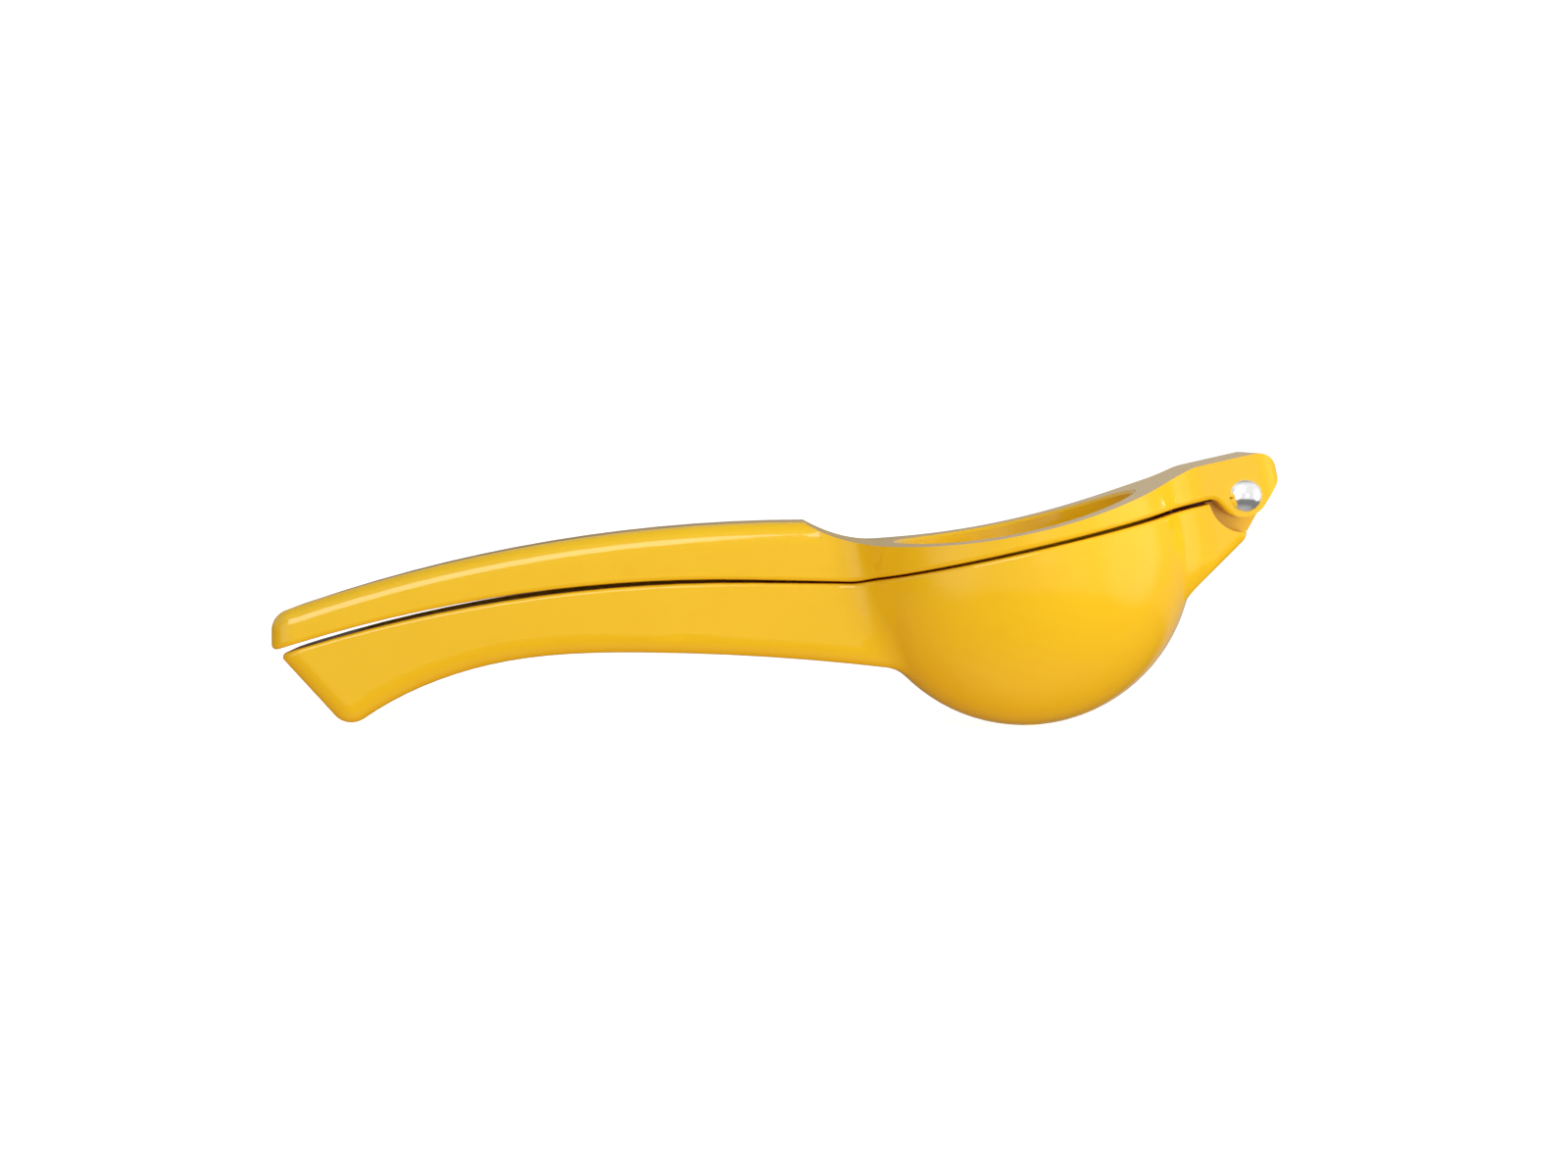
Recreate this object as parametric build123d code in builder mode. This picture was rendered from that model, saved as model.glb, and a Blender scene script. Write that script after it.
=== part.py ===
"""Hinged lemon squeezer: two enamelled aluminium castings closed round a half lemon by hand.

The perforated cup and its handle are the lower casting, the press dome and its handle the upper
one, and a solid steel rivet joins them at the hinge.  Modelled closed, in millimetres, +Z up, +X
from the handle ends towards the hinge, +Y across, resting on the bowl and on the heel of the lower
handle at Z = 0.  The origin is the middle of the footprint's bounding box, on the rest plane.
"""

import math
import os

from build123d import *

os.makedirs("parts", exist_ok=True)

# ----------------------------------------------------------------------------- overall
overall_length = 213.0  # handle ends to the back of the hinge ears
handle_width = 24.0
hinge_width = 26.0
rim_tilt = 13.3  # degrees the rim rises towards the hinge
blend_radius = 10.0  # where the handles and the hinge cheeks run into the round of the bowl
edge_radius = 1.0  # edges along the mating faces

# ----------------------------------------------------------------------------- bowl
bowl_radius = 36.0  # outside
bowl_wall = 3.2
rim_height = 3.2  # straight wall above the half sphere
hole_diameter = 3.7  # juice holes
hole_spacing = 12.1  # side of the square with a hole at each corner and one in its middle

# ----------------------------------------------------------------------------- press
dome_wall = 3.0
dome_clearance = 4.3  # room for the peel between bowl and dome at the rim
dome_lift = 2.0  # the dome's centre above the bowl's centre
recess_draft = 4.0  # degrees the mouth of the hollow opens upwards
flange_thickness = 3.0  # at the middle of the sagging rim
flange_sag_radius = 145.0
flange_dip = 1.5  # bowl axis to the thinnest place, towards the hinge
dome_root = 1.5  # bevel where the dome runs into the flange
mouth_edge = 0.6  # bevel round the mouths of the cup and of the dome's hollow
hood_height = 8.2  # top of the hood above the pin
hood_blend = 10.0  # where the sagging rim runs into the hood
hood_corner = 4.4  # from the hood's top into its rear face

# ----------------------------------------------------------------------------- hinge
pin_stand_off = 11.5  # wall of the bowl to the pin, along the rim
pin_radius = 2.25
pin_running_gap = 0.05  # radial, pin in the lug
ear_end = 8.0  # pin to the rear face of the ears, along the rim
ear_radius = 5.3  # round underside of the ears
ear_centre = (-0.33, 0.9)  # of that rounding, from the pin, along the rim and square to it
ear_front = 31.7  # degrees the front of the ears leans back from square to the rim
ear_rear = 45.0  # degrees, slanted lower corner at their rear
ear_heel = 3.5  # rounding from there into the rear face
ear_corner = 4.5  # rounding of the rear corners seen from above
ear_fillet = 2.0  # where the front of an ear runs into the underside of the flange
lug_width = 9.0
lug_radius = 5.2  # round top of the lug, and pin to its rear flank
lug_flank = 62.0  # degrees, slope of that flank
lug_side_gap = 0.3  # each side of the lug
lug_pocket_gap = 0.45  # over the lug, under the hood
hood_mouth = 68.0  # degrees above the rear horizontal where the slot over the lug opens
seat_radius = 7.8  # round hollow in the cheeks that the ears turn in
tip_reach = 0.6  # rear face of the cheeks behind the pin
tip_radius = 3.0
cheek_edge = 2.0  # rounding along the gusset
gusset_drop = 9.5  # pin down to the gusset's underside, straight below the pin
gusset_slope = 45.8
head_radius = 3.4
head_height = 1.7

# ----------------------------------------------------------------------------- handles
bend_stand_off = 0.4  # wall of the bowl to the bend between rim and handle, along the rim
bend_radius = 16.0
bow_start = 22.3  # bend to where the handles begin to bow down
handle_edge = 4.5  # rounding along the outer edges of both handles
end_corner = 5.5  # rounding of the press handle's end seen from above
heel_over_edge = 0.2  # rounding of the heel beyond that of the edges
heel_inset = 17.1  # handle ends to the lowest point of the heel
heel_slope = 47.2  # degrees, end face of the lower handle
heel_rise = 35.0  # degrees, underside leaving the heel
end_face = 17.5  # length of the slanted end face
belly_depth = 15.3  # lower handle at its slimmest
belly_inset = 44.7  # bend to the slimmest place
belly_radius = 480.0  # underside from there to the bowl
waist_inset = 42.9  # handle ends to a place where the underside is on its way down to the heel
waist_height = 11.6
shoulder_inset = 11.3  # bend to the corner between the press handle and the slope down to the rim
shoulder_height = 12.8  # and that corner above the bend
slope_foot = 6.8  # foot of that slope, from the wall of the bowl inwards along the rim
shoulder_rise = 12.0  # radius with which the handle's rounded edges lift out of the slope
crown_radius = 335.0
press_end_depth = 7.1  # height of the press handle's end
core_width = 16.0  # hollow in the mating face of each handle
core_corner = 6.0
core_floor = 2.0  # rounding along the bottom of that hollow
core_end_wall = 9.0  # solid length left at the ends of that hollow
heel_wall = 14.0  # and at the heel, where the end slants
press_skin = 4.0  # over the press handle's hollow
cup_core_depth = 8.5

# ----------------------------------------------------------------------------- gaps when closed
gap_at_bend = 0.35
gap_at_hinge = 0.8
gap_at_bow = 0.6
gap_at_end = 1.25

# ----------------------------------------------------------------------------- derived
tilt_cos = math.cos(math.radians(rim_tilt))
tilt_sin = math.sin(math.radians(rim_tilt))
pin_reach = bowl_radius + pin_stand_off
bend_reach = bowl_radius + bend_stand_off
rear_cos = math.cos(math.radians(ear_rear))
rear_sin = math.sin(math.radians(ear_rear))
slant_run = (ear_end - ear_centre[0] - ear_radius * rear_cos) / rear_sin  # to the rear face
slant_round = ear_heel * math.tan(math.radians(ear_rear) / 2)
heel_above_pin = ear_centre[1] - ear_radius * rear_sin + slant_run * rear_cos + slant_round
pin_x = overall_length / 2 - (ear_end - ear_heel) * tilt_cos + heel_above_pin * tilt_sin - ear_heel
bowl_x = pin_x - pin_reach * tilt_cos + rim_height * tilt_sin
bowl_axis = Axis((bowl_x, 0, bowl_radius), (-tilt_sin, 0, tilt_cos))
rim_plane = Plane(
    origin=(bowl_x, 0, bowl_radius),
    x_dir=(tilt_cos, 0, tilt_sin),
    z_dir=(-tilt_sin, 0, tilt_cos),
)
blank_height = 20.0  # castings are cut to their mating faces from blanks this tall above the bowl's centre
far = overall_length
hood = rim_height + hood_height
sag_lowest = rim_height + (gap_at_bend + gap_at_hinge) / 2 + flange_thickness
hood_start = flange_dip + math.sqrt(flange_sag_radius**2 - (flange_sag_radius + sag_lowest - hood) ** 2)


def rim_point(along, above):
    """World (x, z) of a point measured along the rim and square to it, from the bowl's centre."""
    return (
        bowl_x + along * tilt_cos - above * tilt_sin,
        bowl_radius + along * tilt_sin + above * tilt_cos,
    )


def rim_coordinates(point):
    """The inverse: distance along the rim and above the bowl's centre of a world point."""
    dx = point.X - bowl_x
    dz = point.Z - bowl_radius
    return dx * tilt_cos + dz * tilt_sin, dz * tilt_cos - dx * tilt_sin


def step(point, degrees, distance):
    """A point reached from another one in the XZ plane."""
    angle = math.radians(degrees)
    return (point[0] + distance * math.cos(angle), point[1] + distance * math.sin(angle))


def climb(point, degrees, above):
    """Follow a slope from a point until it is at a height above the bowl's centre, square to the rim."""
    start = rim_coordinates(Vector(point[0], 0, point[1]))[1]
    return step(point, degrees, (above - start) / math.sin(math.radians(degrees - rim_tilt)))


pin = rim_point(pin_reach, rim_height)
bend = rim_point(-bend_reach, rim_height)
bow = (bend[0] - bow_start, bend[1])
handle_end = -overall_length / 2
heel_radius = handle_edge + heel_over_edge
heel_x = handle_end + heel_inset
heel_centre = (heel_x, heel_radius)
heel_front = step(heel_centre, 270 - heel_slope, heel_radius)
heel_back = step(heel_centre, 270 + heel_rise, heel_radius)
cup_end = step(heel_front, 180 - heel_slope, end_face)
belly = (bend[0] - belly_inset, bend[1] - belly_depth)
gusset = (pin[0], pin[1] - gusset_drop)
shoulder = (bend[0] - shoulder_inset, bend[1] + shoulder_height)
press_end = (handle_end, cup_end[1] + gap_at_end + press_end_depth)
cup_bow = TangentArc(bow, cup_end, tangent=(-1, 0))
crown = RadiusArc(press_end, shoulder, crown_radius)
inner_radius = bowl_radius - bowl_wall
dome_radius = inner_radius - dome_clearance


def press_rim(along):
    """World (x, z) on the underside of the flange, which opens slightly from the bend to the hinge."""
    share = (along + bend_reach) / (pin_reach + bend_reach)
    return rim_point(along, rim_height + gap_at_bend + share * (gap_at_hinge - gap_at_bend))


def sag_point(along):
    """World (x, z) on the sagging top of the flange."""
    dip = flange_sag_radius - math.sqrt(flange_sag_radius**2 - (along - flange_dip) ** 2)
    return rim_point(along, sag_lowest + dip)


def beside(curve, distance, depth):
    """Point at a length along a curve, moved square to it, to the left of its heading."""
    place = curve.position_at(distance, position_mode=PositionMode.LENGTH)
    heading = curve.tangent_at(distance, position_mode=PositionMode.LENGTH)
    return place + Vector(-heading.Y, heading.X) * depth


def side_edges(edges, half_width):
    """Edges that lie in the two flat sides of a bar."""
    near = edges.filter_by_position(Axis.Y, -half_width, -half_width)
    return near + edges.filter_by_position(Axis.Y, half_width, half_width)


# ----------------------------------------------------------------------------- hollow of the lower handle
core_far = beside(cup_bow, cup_bow.length - heel_wall, cup_core_depth)
core_near = (bend[0] - core_end_wall, bow[1] - cup_core_depth)
with BuildPart() as cup_core:
    with BuildSketch(Plane.XZ):
        with BuildLine():
            level = Line(core_near, (bow[0], core_near[1]))
            TangentArc(level @ 1, core_far, tangent=(-1, 0))
            Polyline(core_far, (core_far.X, shoulder[1]), (core_near[0], shoulder[1]), core_near)
        make_face()
    extrude(amount=core_width / 2, both=True)
    fillet(cup_core.edges().filter_by(Axis.Z), core_corner)
    bottom = cup_core.edges().filter_by(lambda edge: edge.center().Z < core_near[1] + core_floor / 2)
    fillet(bottom, core_floor)

# ----------------------------------------------------------------------------- lower casting
with BuildPart() as cup_handle:
    # Lower handle as a tall bar: slanted end face, round heel, underside swept up to its slimmest
    # place and on into the bowl.
    inside = rim_point(-bowl_radius / 2, blank_height)
    belly_turn = math.degrees(math.asin((inside[0] - belly[0]) / belly_radius))
    with BuildSketch(Plane.XZ):
        with BuildLine():
            under = JernArc(belly, (1, 0), belly_radius, -belly_turn)
            Line(under @ 1, inside)
            Line(inside, climb(heel_front, 180 - heel_slope, blank_height))
            Line(climb(heel_front, 180 - heel_slope, blank_height), heel_front)
            ThreePointArc(heel_front, (heel_x, 0), heel_back)
            waist = (handle_end + waist_inset, waist_height)
            Spline(heel_back, waist, belly, tangents=[step((0, 0), heel_rise, 1), (1, 0)])
        make_face()
    extrude(amount=handle_width / 2, both=True)
    outer = side_edges(cup_handle.edges(), handle_width / 2)
    outer = outer.filter_by(lambda edge: rim_coordinates(edge.center())[1] < blank_height - edge_radius)
    fillet(outer.filter_by(lambda edge: edge.center().X < bend[0]), handle_edge)

    # Hinge cheeks, still one block, on a gusset that runs straight down into the bowl.
    along_gusset = (gusset[0] - bowl_x) * math.cos(math.radians(gusset_slope))
    along_gusset += (gusset[1] - bowl_radius) * math.sin(math.radians(gusset_slope))
    tip = step(gusset, gusset_slope, tip_reach / math.cos(math.radians(gusset_slope)))
    with BuildSketch(Plane.XZ) as cheek_side:
        with BuildLine():
            Polyline(
                rim_point(0, 0),
                step(gusset, gusset_slope + 180, along_gusset),
                tip,
                climb(tip, 90, blank_height),
                rim_point(0, blank_height),
                close=True,
            )
        make_face()
        fillet(cheek_side.vertices().sort_by_distance(tip)[0], tip_radius)
    extrude(amount=hinge_width / 2, both=True)
    outer = side_edges(cup_handle.edges(Select.LAST), hinge_width / 2)
    outer = outer.filter_by(lambda edge: rim_coordinates(edge.center())[1] < blank_height - edge_radius)
    fillet(outer.filter_by(lambda edge: edge.center().X > bowl_x + 1), cheek_edge)

    # The bowl, solid for now, blended into both.
    with BuildSketch(Plane.XZ):
        with BuildLine():
            Polyline(
                rim_point(0, -bowl_radius),
                rim_point(0, blank_height),
                rim_point(bowl_radius, blank_height),
                rim_point(bowl_radius, 0),
            )
            ThreePointArc(
                rim_point(bowl_radius, 0),
                step(rim_point(0, 0), rim_tilt - 45, bowl_radius),
                rim_point(0, -bowl_radius),
            )
        make_face()
    revolve(axis=bowl_axis)
    joins = cup_handle.edges(Select.NEW)
    joins = joins.filter_by(lambda edge: rim_coordinates(edge.center())[1] < blank_height - edge_radius)
    fillet(joins, blend_radius)

    # Mating face: straight along the rim, bent at the handle, bowing down to the end.
    with BuildSketch(Plane.XZ):
        with BuildLine():
            FilletPolyline(rim_point(far, rim_height), bend, bow, radius=bend_radius)
            add(cup_bow)
            beyond = Line(cup_bow @ 1, cup_bow @ 1 + cup_bow % 1 * handle_width)
            Polyline(beyond @ 1, (-far, far), rim_point(far, far), rim_point(far, rim_height))
        make_face()
    extrude(amount=far, both=True, mode=Mode.SUBTRACT)
    fillet(cup_handle.edges(Select.NEW), edge_radius)

    # Round seat in the cheeks, and the lug that stands in it.
    with BuildSketch(Plane.XZ):
        with Locations(pin):
            Circle(seat_radius)
    extrude(amount=hinge_width, both=True, mode=Mode.SUBTRACT)
    flank_top = step(pin, lug_flank - 90, lug_radius)
    under_lug = gusset_drop * math.cos(math.radians(gusset_slope))  # pin to the gusset's underside
    flank_turn = math.radians(lug_flank - gusset_slope)
    flank_run = (under_lug - lug_radius * math.cos(flank_turn)) / math.sin(flank_turn)
    flank_foot = step(flank_top, lug_flank + 180, flank_run)
    with BuildSketch(Plane.XZ):
        with Locations(pin):
            Circle(lug_radius)
        with BuildLine():
            Polyline(
                pin,
                flank_top,
                flank_foot,
                step(flank_foot, gusset_slope + 180, seat_radius),
                rim_point(pin_reach - seat_radius - edge_radius, rim_height),
                close=True,
            )
        make_face()
    extrude(amount=lug_width / 2, both=True)
    with BuildSketch(Plane.XZ):
        with Locations(pin):
            Circle(pin_radius + pin_running_gap)
    extrude(amount=lug_width, both=True, mode=Mode.SUBTRACT)

    # Inside of the bowl, with the juice holes through its lowest part.
    with BuildSketch(Plane.XZ):
        with BuildLine():
            Polyline(
                rim_point(0, -inner_radius),
                rim_point(0, blank_height),
                rim_point(inner_radius, blank_height),
                rim_point(inner_radius, 0),
            )
            ThreePointArc(
                rim_point(inner_radius, 0),
                step(rim_point(0, 0), rim_tilt - 45, inner_radius),
                rim_point(0, -inner_radius),
            )
        make_face()
    revolve(axis=bowl_axis, mode=Mode.SUBTRACT)
    chamfer(cup_handle.edges(Select.NEW), mouth_edge)
    with BuildSketch(rim_plane.offset(-bowl_radius - bowl_wall)):
        Circle(hole_diameter / 2)
        with GridLocations(hole_spacing, hole_spacing, 2, 2):
            Circle(hole_diameter / 2)
    extrude(amount=bowl_radius / 2, mode=Mode.SUBTRACT)

    add(cup_core.part, mode=Mode.SUBTRACT)

cup_handle.part.label = "cup_handle"
export_step(cup_handle.part, "parts/cup_handle.step")

# ----------------------------------------------------------------------------- hollow of the upper handle
core_rear = beside(crown, core_end_wall, -press_skin)
core_front = beside(crown, crown.length - core_end_wall, -press_skin)
with BuildPart() as press_core:
    with BuildSketch(Plane.XZ):
        with BuildLine():
            RadiusArc(core_rear, core_front, crown_radius - press_skin)
            Polyline(core_front, (core_front.X, 0), (core_rear.X, 0), core_rear)
        make_face()
    extrude(amount=core_width / 2, both=True)
    fillet(press_core.edges().filter_by(Axis.Z), core_corner)
    top = press_core.edges().filter_by(lambda edge: edge.center().Z > core_rear.Y - core_floor)
    fillet(top, core_floor)

# ----------------------------------------------------------------------------- upper casting
with BuildPart() as press_handle:
    # Upper handle as a bar with its crown; the rounded edges lift away past the shoulder.
    with BuildSketch(Plane.XZ):
        with BuildLine():
            add(crown)
            lift = JernArc(shoulder, crown % 1, shoulder_rise, 60)
            Polyline(lift @ 1, ((lift @ 1).X, 0), (press_end[0], 0), press_end)
        make_face()
    extrude(amount=handle_width / 2, both=True)
    end_face_edges = press_handle.edges().group_by(Axis.X)[0]
    fillet(end_face_edges.filter_by(Axis.Z), end_corner)
    outer = press_handle.edges().filter_by(lambda edge: edge.center().Z > press_end[1] - edge_radius)
    outer = outer.filter_by(lambda edge: edge.center().X < (lift @ 1).X - edge_radius)
    fillet(outer, handle_edge)

    # Flange and hinge block seen from above, with the flares from the handle and to the hinge.
    flare = math.sqrt((bowl_radius + blend_radius) ** 2 - (handle_width / 2 + blend_radius) ** 2)
    with BuildSketch(rim_plane.offset(-ear_radius)) as flange_plan:
        Circle(bowl_radius)
        with Locations((-flare - edge_radius, 0)):
            Rectangle(flare + edge_radius, handle_width, align=(Align.MIN, Align.CENTER))
        Rectangle(pin_reach + ear_end, hinge_width, align=(Align.MIN, Align.CENTER))
        on_rim = flange_plan.vertices().filter_by(lambda v: abs(Vector(*v).length - bowl_radius) < 0.01)
        fillet(on_rim, blend_radius)
        fillet(flange_plan.vertices().group_by(Axis.X)[-1], ear_corner)
    extrude(amount=ear_radius + blank_height)

    # Top: slope down from the shoulder, sagging rim, hood over the hinge.
    foot = sag_point(slope_foot - bowl_radius)
    with BuildSketch(Plane.XZ) as top_side:
        with BuildLine():
            sag = ThreePointArc(foot, sag_point(0), rim_point(hood_start, hood))
            TangentArc(foot, shoulder, tangent=(sag % 0) * -1)
            Polyline(
                sag @ 1,
                rim_point(pin_reach + ear_end, hood),
                rim_point(pin_reach + ear_end, -blank_height),
                rim_point(pin_reach + far, -blank_height),
                rim_point(pin_reach + far, far),
                (shoulder[0], far),
                shoulder,
            )
        make_face()
        fillet(top_side.vertices().sort_by_distance(rim_point(hood_start, hood))[0], hood_blend)
        fillet(top_side.vertices().sort_by_distance(rim_point(pin_reach + ear_end, hood))[0], hood_corner)
    extrude(amount=far, both=True, mode=Mode.SUBTRACT)

    # Mating face: along the handle, bent up to the rim, and round into the front of the ears, which
    # runs on down for now.
    press_bend = (bend[0], bend[1] + gap_at_bend)
    press_bow = (bow[0], bow[1] + gap_at_bow)
    press_bow_end = (cup_end[0], cup_end[1] + gap_at_end)
    ear_middle = rim_point(pin_reach + ear_centre[0], rim_height + ear_centre[1])
    front_low = step(ear_middle, rim_tilt + 180 + ear_front, ear_radius)
    front_high = climb(front_low, rim_tilt + 90 + ear_front, rim_height + gap_at_hinge)
    front_far = climb(front_low, rim_tilt + 90 + ear_front, -far)
    with BuildSketch(Plane.XZ) as mating_side:
        with BuildLine():
            level = Line(press_bend, press_bow)
            bowing = TangentArc(press_bow, press_bow_end, tangent=level % 1)
            beyond = Line(bowing @ 1, bowing @ 1 + bowing % 1 * handle_width)
            Polyline(beyond @ 1, (-far, front_far[1]), front_far, front_high, press_bend)
        make_face()
        fillet(mating_side.vertices().sort_by_distance(press_bend)[0], bend_radius)
        fillet(mating_side.vertices().sort_by_distance(front_high)[0], ear_fillet)
    extrude(amount=far, both=True, mode=Mode.SUBTRACT)
    fillet(press_handle.edges(Select.NEW), edge_radius)

    # Round underside of the ears and the slanted corner behind it.
    rear_low = step(ear_middle, rim_tilt - ear_rear, ear_radius)
    with BuildSketch(Plane.XZ):
        with BuildLine():
            ThreePointArc(front_low, step(ear_middle, rim_tilt - 90, ear_radius), rear_low)
            rise = Line(rear_low, step(rear_low, rim_tilt + 90 - ear_rear, slant_run - slant_round))
            heel = JernArc(rise @ 1, rise % 1, ear_heel, ear_rear)
            Polyline(
                heel @ 1,
                heel @ 1 + Vector(far, 0),
                rim_point(far, -far),
                rim_point(0, -far),
                step(front_low, rim_tilt + 180, ear_radius),
                front_low,
            )
        make_face()
    extrude(amount=far, both=True, mode=Mode.SUBTRACT)

    # The dome, solid for now, and its hollow with a slightly flared mouth.
    dome_middle = rim_point(0, dome_lift)
    with BuildSketch(Plane.XZ):
        with BuildLine():
            Polyline(
                rim_point(dome_radius, dome_lift),
                rim_point(dome_radius, rim_height - dome_root),
                rim_point(dome_radius + 2 * dome_root, rim_height + dome_root),
                rim_point(0, rim_height + dome_root),
                rim_point(0, dome_lift - dome_radius),
            )
            ThreePointArc(
                rim_point(0, dome_lift - dome_radius),
                step(dome_middle, rim_tilt - 45, dome_radius),
                rim_point(dome_radius, dome_lift),
            )
        make_face()
    revolve(axis=bowl_axis)
    recess_radius = dome_radius - dome_wall
    mouth_radius = recess_radius + (blank_height - dome_lift) * math.tan(math.radians(recess_draft))
    with BuildSketch(Plane.XZ):
        with BuildLine():
            Polyline(
                rim_point(recess_radius, dome_lift),
                rim_point(mouth_radius, blank_height),
                rim_point(0, blank_height),
                rim_point(0, dome_lift - recess_radius),
            )
            ThreePointArc(
                rim_point(0, dome_lift - recess_radius),
                step(dome_middle, rim_tilt - 45, recess_radius),
                rim_point(recess_radius, dome_lift),
            )
        make_face()
    revolve(axis=bowl_axis, mode=Mode.SUBTRACT)
    mouth = press_handle.edges(Select.NEW)
    mouth = mouth.filter_by(lambda edge: rim_coordinates(edge.center())[1] > rim_height)
    chamfer(mouth, mouth_edge)

    # Slot between the ears for the lug, covered by the hood, and the rivet's bore.
    with BuildSketch(Plane.XZ):
        with Locations(pin):
            Circle(lug_radius + lug_pocket_gap)
        with BuildLine():
            Polyline(
                pin,
                step(pin, hood_mouth, far),
                step(pin, hood_mouth - 90, far),
                rim_point(0, -far),
                press_rim(pin_reach - 2 * ear_radius),
                press_rim(pin_reach),
                close=True,
            )
        make_face()
    extrude(amount=lug_width / 2 + lug_side_gap, both=True, mode=Mode.SUBTRACT)
    with BuildSketch(Plane.XZ):
        with Locations(pin):
            Circle(pin_radius)
    extrude(amount=hinge_width, both=True, mode=Mode.SUBTRACT)

    add(press_core.part, mode=Mode.SUBTRACT)

press_handle.part.label = "press_handle"
export_step(press_handle.part, "parts/press_handle.step")

# ----------------------------------------------------------------------------- rivet
ear_face = hinge_width / 2
head_top = ear_face + head_height
with BuildPart() as hinge_rivet:
    with BuildSketch(Plane.XY.offset(pin[1])):
        with BuildLine():
            TangentArc((pin[0], -head_top), (pin[0] + head_radius, -ear_face), tangent=(1, 0))
            Polyline(
                (pin[0] + head_radius, -ear_face),
                (pin[0] + pin_radius, -ear_face),
                (pin[0] + pin_radius, ear_face),
                (pin[0] + head_radius, ear_face),
            )
            TangentArc((pin[0], head_top), (pin[0] + head_radius, ear_face), tangent=(1, 0))
            Line((pin[0], -head_top), (pin[0], head_top))
        make_face()
    revolve(axis=Axis((pin[0], 0, pin[1]), (0, 1, 0)))

hinge_rivet.part.label = "hinge_rivet"
export_step(hinge_rivet.part, "parts/hinge_rivet.step")
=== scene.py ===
"""Looks of the hinged lemon squeezer: glossy yellow enamel on both castings and a bright steel
rivet, in a pale studio. In metres, in the frame of the CAD model."""

import math

import bpy
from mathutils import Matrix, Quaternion, Vector


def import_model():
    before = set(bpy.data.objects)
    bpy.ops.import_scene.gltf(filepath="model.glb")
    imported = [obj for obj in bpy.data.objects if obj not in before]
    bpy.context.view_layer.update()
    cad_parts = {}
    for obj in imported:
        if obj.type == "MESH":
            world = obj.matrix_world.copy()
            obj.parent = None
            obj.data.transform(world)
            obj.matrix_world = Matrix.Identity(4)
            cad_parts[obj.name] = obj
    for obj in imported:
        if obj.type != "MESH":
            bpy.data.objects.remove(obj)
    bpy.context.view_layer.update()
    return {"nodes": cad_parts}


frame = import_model()
nodes = frame["nodes"]


def grey(level):
    return (level, level, level, 1)


# ----------------------------------------------------------------------------- colours, linear RGB
DEEP_YELLOW = (0.83, 0.53, 0.010, 1)
PALE_YELLOW = (0.86, 0.56, 0.013, 1)
DULL_YELLOW = (0.80, 0.48, 0.010, 1)
# Painted shade: the dark red-brown painted into tight seams between the castings.
SEAM_PAINTED_SHADE = (0.48, 0.022, 0.001, 1)
DULL_STEEL = (0.88, 0.88, 0.89, 1)
BRIGHT_STEEL = (0.95, 0.95, 0.96, 1)
FLOOR_SHADE, FLOOR_LIGHT = grey(0.34), grey(0.36)

# What lights the surfaces from the surroundings, above and below the horizon.
ABOVE_BACK, ABOVE_FRONT = (0.50, 0.45, 0.38, 1), grey(0.53)
BELOW_BACK, BELOW_FRONT = (0.88, 0.55, 0.37, 1), (0.88, 0.72, 0.54, 1)

# What the surfaces mirror of them.
SIDE_WALLS, RIGHT_WALL = grey(0.90), grey(0.40)
BACK_WALL, BACK_FOOT = grey(0.44), grey(0.08)
CEILING, CEILING_BACK = grey(0.95), grey(0.35)
GROUND, GROUND_UNDER, GROUND_BACK = grey(0.22), grey(0.45), grey(0.06)

# What the camera sees of them: a little over white.
IN_VIEW = grey(1.1)

# ----------------------------------------------------------------------------- directions
# The camera looks along +Y, so left is -X, right +X, front -Y and back +Y.
UP, DOWN = (0, 0, 1), (0, 0, -1)
FRONT_RIGHT = (0.35, -1, 0)
LEFT_BACK, RIGHT_BACK = (-0.75, 0.66, 0), (0.75, 0.66, 0)
HIGH_BACK, LOW_BACK = (0, 0.6, 0.8), (0, 1, -0.3)

# Bright screens that the surfaces mirror: the direction of each, the cosines between which it fades
# in, and how bright it is.
SCREENS = (
    ((-0.78, -0.62, 0.05), (0.85, 0.98), 1.7),
    ((0.96, -0.27, 0.05), (0.86, 0.97), 1.7),
    ((0.16, -0.98, 0.05), (0.98, 0.997), 1.5),
)


# ----------------------------------------------------------------------------- node trees
class Nodes:
    """A node tree being built, with short ways to add nodes and join them."""

    # The colour sockets of a Mix node, by number: their names are also those of its other sockets.
    MIX_INPUTS = (0, 6, 7)
    MIX_RESULT = 2

    def __init__(self, tree):
        self.tree = tree

    def add(self, kind, **settings):
        """A new node, with settings such as its operation."""
        node = self.tree.nodes.new(kind)
        for name, value in settings.items():
            setattr(node, name, value)
        return node

    def feed(self, socket, value):
        """Give an input a value, or another node's output."""
        if isinstance(value, bpy.types.NodeSocket):
            self.tree.links.new(value, socket)
        else:
            socket.default_value = value

    def span(self, value, low, high, to_low=0.0, to_high=1.0, **settings):
        """A value's range mapped to another, clamped."""
        node = self.add("ShaderNodeMapRange", **settings)
        limits = {"From Min": low, "From Max": high, "To Min": to_low, "To Max": to_high}
        for name, number in limits.items():
            self.feed(node.inputs[name], number)
        self.feed(node.inputs["Value"], value)
        return node.outputs["Result"]

    def mix(self, factor, first, second):
        """A colour between two, each a colour or another node's output."""
        node = self.add("ShaderNodeMix", data_type="RGBA")
        for number, value in zip(self.MIX_INPUTS, (factor, first, second)):
            self.feed(node.inputs[number], value)
        return node.outputs[self.MIX_RESULT]


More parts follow.
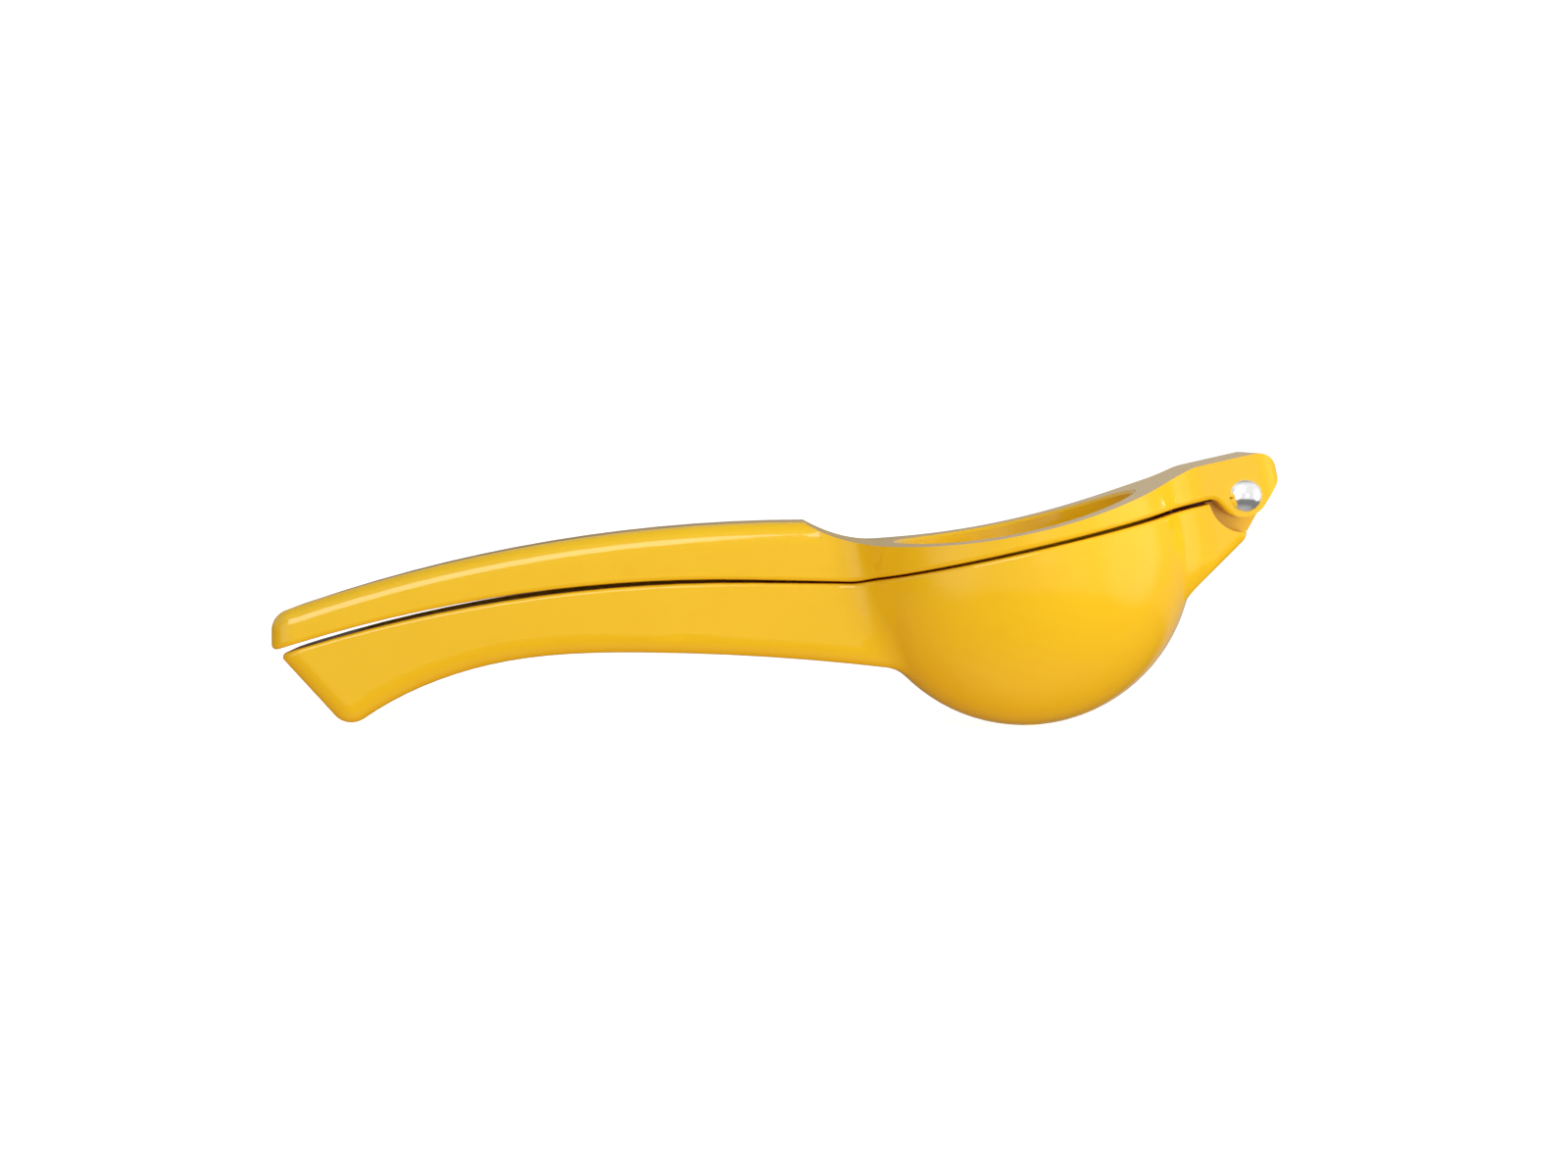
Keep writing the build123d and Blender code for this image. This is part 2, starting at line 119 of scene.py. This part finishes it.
class Shader(Nodes):
    """A material being built round its principled shader."""

    def __init__(self, name):
        self.material = bpy.data.materials.new(name)
        self.material.use_nodes = True
        super().__init__(self.material.node_tree)
        self.place = self.add("ShaderNodeTexCoord").outputs["Object"]

    def surface(self, **inputs):
        """The material, with these inputs of its principled shader, _ standing for a space."""
        principled = self.tree.nodes["Principled BSDF"]
        for name, value in inputs.items():
            self.feed(principled.inputs[name.replace("_", " ")], value)
        return self.material

    def noise(self, per_metre, detail):
        """Noise through the part, with so many features per metre."""
        node = self.add("ShaderNodeTexNoise")
        self.feed(node.inputs["Vector"], self.place)
        self.feed(node.inputs["Scale"], per_metre)
        self.feed(node.inputs["Detail"], detail)
        return node.outputs["Fac"]

    def nook(self, distance, shut, free):
        """How shut in a place is by what lies near it: 1 where surfaces nearly touch, 0 in the
        open.
        """
        node = self.add("ShaderNodeAmbientOcclusion", samples=8)
        self.feed(node.inputs["Distance"], distance)
        return self.span(node.outputs["AO"], shut, free, to_low=1, to_high=0)

    def larger(self, first, second):
        node = self.add("ShaderNodeMath", operation="MAXIMUM")
        self.feed(node.inputs[0], first)
        self.feed(node.inputs[1], second)
        return node.outputs[0]

    def bump(self, height, strength, distance):
        node = self.add("ShaderNodeBump")
        self.feed(node.inputs["Height"], height)
        self.feed(node.inputs["Strength"], strength)
        self.feed(node.inputs["Distance"], distance)
        return node.outputs["Normal"]


# ----------------------------------------------------------------------------- materials
def enamel(name):
    """Gloss enamel on a casting: a deep yellow that drifts a little, fine mottling and orange peel,
    gloss that varies, and painted shade: dark red-brown painted into tight seams, which are made
    rougher too."""
    shader = Shader(name)
    drift = shader.span(shader.noise(per_metre=22, detail=3), 0.35, 0.65)
    mottle = shader.span(shader.noise(per_metre=260, detail=3), 0.55, 0.8, to_high=0.25)
    # Painted shade: ambient occlusion finds the tight seams, which are painted dark red-brown and
    # roughened.
    painted_seam_shade = shader.nook(distance=0.002, shut=0.05, free=0.65)
    colour = shader.mix(drift, DEEP_YELLOW, PALE_YELLOW)
    colour = shader.mix(mottle, colour, DULL_YELLOW)
    colour = shader.mix(painted_seam_shade, colour, SEAM_PAINTED_SHADE)
    gloss = shader.span(shader.noise(per_metre=60, detail=4), 0.3, 0.7, to_low=0.08, to_high=0.12)
    peel = shader.bump(shader.noise(per_metre=420, detail=2), strength=0.12, distance=0.0002)
    return shader.surface(
        Base_Color=colour,
        Roughness=shader.larger(gloss, shader.span(painted_seam_shade, 0.5, 1)),
        Normal=peel,
        IOR=1.4,
    )


def steel(name):
    """Bright rivet steel, with fine variation of tone and sheen and a faint grain."""
    shader = Shader(name)
    tone = shader.span(shader.noise(per_metre=900, detail=3), 0.3, 0.7)
    sheen = shader.span(shader.noise(per_metre=1500, detail=2), 0.3, 0.7, to_low=0.10, to_high=0.18)
    grain = shader.bump(shader.noise(per_metre=2500, detail=2), strength=0.05, distance=0.0001)
    return shader.surface(
        Base_Color=shader.mix(tone, DULL_STEEL, BRIGHT_STEEL),
        Roughness=sheen,
        Normal=grain,
        Metallic=1.0,
    )


def white_floor(name):
    """Matt white with a soft variation of shade, bright enough to take no tint from the enamel."""
    shader = Shader(name)
    shade = shader.span(shader.noise(per_metre=3, detail=2), 0.3, 0.7)
    return shader.surface(
        Base_Color=shader.mix(shade, FLOOR_SHADE, FLOOR_LIGHT),
        Roughness=1.0,
        Specular_IOR_Level=0.0,
        Emission_Color=grey(1),
        Emission_Strength=0.95,
    )


def dress(node, material):
    """Give a node from the frame its material, in the slots it has."""
    for slot in nodes[node].material_slots:
        slot.material = material
    if not nodes[node].material_slots:
        nodes[node].data.materials.append(material)


dress("cup_handle", enamel("yellow_enamel_cup"))
dress("press_handle", enamel("yellow_enamel_press"))
dress("hinge_rivet", steel("rivet_steel"))


# ----------------------------------------------------------------------------- floor
def floor():
    """A large plane just under the squeezer. It is only looked at: it lights and shades nothing."""
    half_side, below = 4.0, 0.0001
    corners = [
        (-half_side, -half_side, 0),
        (half_side, -half_side, 0),
        (half_side, half_side, 0),
        (-half_side, half_side, 0),
    ]
    mesh = bpy.data.meshes.new("floor")
    mesh.from_pydata(corners, [], [(0, 1, 2, 3)])
    mesh.materials.append(white_floor("floor_white"))
    plane = bpy.data.objects.new("floor", mesh)
    plane.location.z = -below
    plane.visible_glossy = False
    plane.visible_diffuse = False
    plane.visible_shadow = False
    bpy.context.scene.collection.objects.link(plane)


floor()


# ----------------------------------------------------------------------------- light
def world():
    """Surroundings, apart for each use: to light the surfaces, to be mirrored, to be seen."""
    studio = bpy.data.worlds.new("studio")
    studio.use_nodes = True
    bpy.context.scene.world = studio
    room = Nodes(studio.node_tree)
    direction = room.add("ShaderNodeTexCoord").outputs["Generated"]
    ray = room.add("ShaderNodeLightPath").outputs

    def towards(aim, low, high):
        """From 0 to 1 as the cosine between the direction and another goes from low to high."""
        turn = room.add("ShaderNodeVectorMath", operation="DOT_PRODUCT")
        room.feed(turn.inputs[0], direction)
        room.feed(turn.inputs[1], Vector(aim).normalized())
        return room.span(turn.outputs["Value"], low, high, interpolation_type="SMOOTHSTEP")

    # What lights the surfaces: warm from below, paler towards the front and right.
    front = towards(FRONT_RIGHT, -0.4, 1)
    above = room.mix(front, ABOVE_BACK, ABOVE_FRONT)
    below = room.mix(front, BELOW_BACK, BELOW_FRONT)
    lighting = room.mix(towards(UP, -0.15, 0.15), below, above)

    # What they mirror: pale walls and ceiling, greyer to the back and right, and dark ground.
    back = room.mix(towards(UP, 0.03, 0.10), BACK_FOOT, BACK_WALL)
    walls = room.mix(towards(LEFT_BACK, -0.05, 0.6), SIDE_WALLS, back)
    walls = room.mix(towards(RIGHT_BACK, 0.5, 0.9), walls, RIGHT_WALL)
    ceiling = room.mix(towards(HIGH_BACK, 0.55, 0.85), CEILING, CEILING_BACK)
    upper = room.mix(towards(UP, 0.15, 0.6), walls, ceiling)
    lower = room.mix(towards(DOWN, 0.72, 1.0), GROUND, GROUND_UNDER)
    lower = room.mix(towards(LOW_BACK, 0.2, 0.8), lower, GROUND_BACK)
    mirrored = room.mix(towards(UP, -0.38, -0.28), lower, upper)
    for aim, (low, high), brightness in SCREENS:
        mirrored = room.mix(towards(aim, low, high), mirrored, grey(brightness))

    colour = room.mix(ray["Is Glossy Ray"], lighting, mirrored)
    colour = room.mix(ray["Is Camera Ray"], colour, IN_VIEW)
    room.feed(room.tree.nodes["Background"].inputs["Color"], colour)


def softbox(name, place, target, size, watts, colour=(1, 1, 1), mirrored=False, lights=True):
    """Rectangular studio light at a place, facing a target, that is mirrored, lights, or both."""
    data = bpy.data.lights.new(name, "AREA")
    data.shape = "RECTANGLE"
    data.size, data.size_y = size
    data.energy = watts
    data.color = colour
    lamp = bpy.data.objects.new(name, data)
    lamp.location = place
    lamp.rotation_mode = "QUATERNION"
    lamp.rotation_quaternion = (Vector(target) - Vector(place)).to_track_quat("-Z", "Y")
    lamp.visible_glossy = mirrored
    lamp.visible_diffuse = lights
    bpy.context.scene.collection.objects.link(lamp)


MIDDLE = (0, 0, 0.03)
BOWL = (0.05, 0, 0.03)
LEFT_OF_HANDLES = (-0.3, 0, 0.03)
WARM = (1, 0.84, 0.64)

world()
softbox("key_right", (0.26, -0.47, 0.05), BOWL, size=(0.3, 0.3), watts=0.84)
softbox("fill_front", (0.1, -0.9, 0.9), MIDDLE, size=(1.4, 0.5), watts=3)
softbox("overhead", (0.60, -0.12, 0.62), BOWL, size=(0.5, 0.5), watts=3, colour=WARM)
softbox("strip_front", (-0.55, -1.02, 0.94), LEFT_OF_HANDLES, size=(1.0, 0.7), watts=14,
        mirrored=True, lights=False)


# ----------------------------------------------------------------------------- camera
def camera():
    """Level with the squeezer's side, looking a little down, as a long lens sees it."""
    target = Vector((0.0025, 0, 0.0290))
    distance = 0.5905
    pitch, roll = math.radians(3.5), math.radians(0.49)
    data = bpy.data.cameras.new("camera")
    data.sensor_width = 36
    data.lens = 63
    data.clip_start = 0.01
    data.clip_end = 20
    eye = bpy.data.objects.new("camera", data)
    away = Vector((0, -math.cos(pitch), math.sin(pitch)))
    eye.location = target + away * distance
    eye.rotation_mode = "QUATERNION"
    eye.rotation_quaternion = (-away).to_track_quat("-Z", "Y") @ Quaternion((0, 0, 1), roll)
    bpy.context.scene.collection.objects.link(eye)
    bpy.context.scene.camera = eye


camera()
bpy.context.scene.view_settings.view_transform = "Standard"
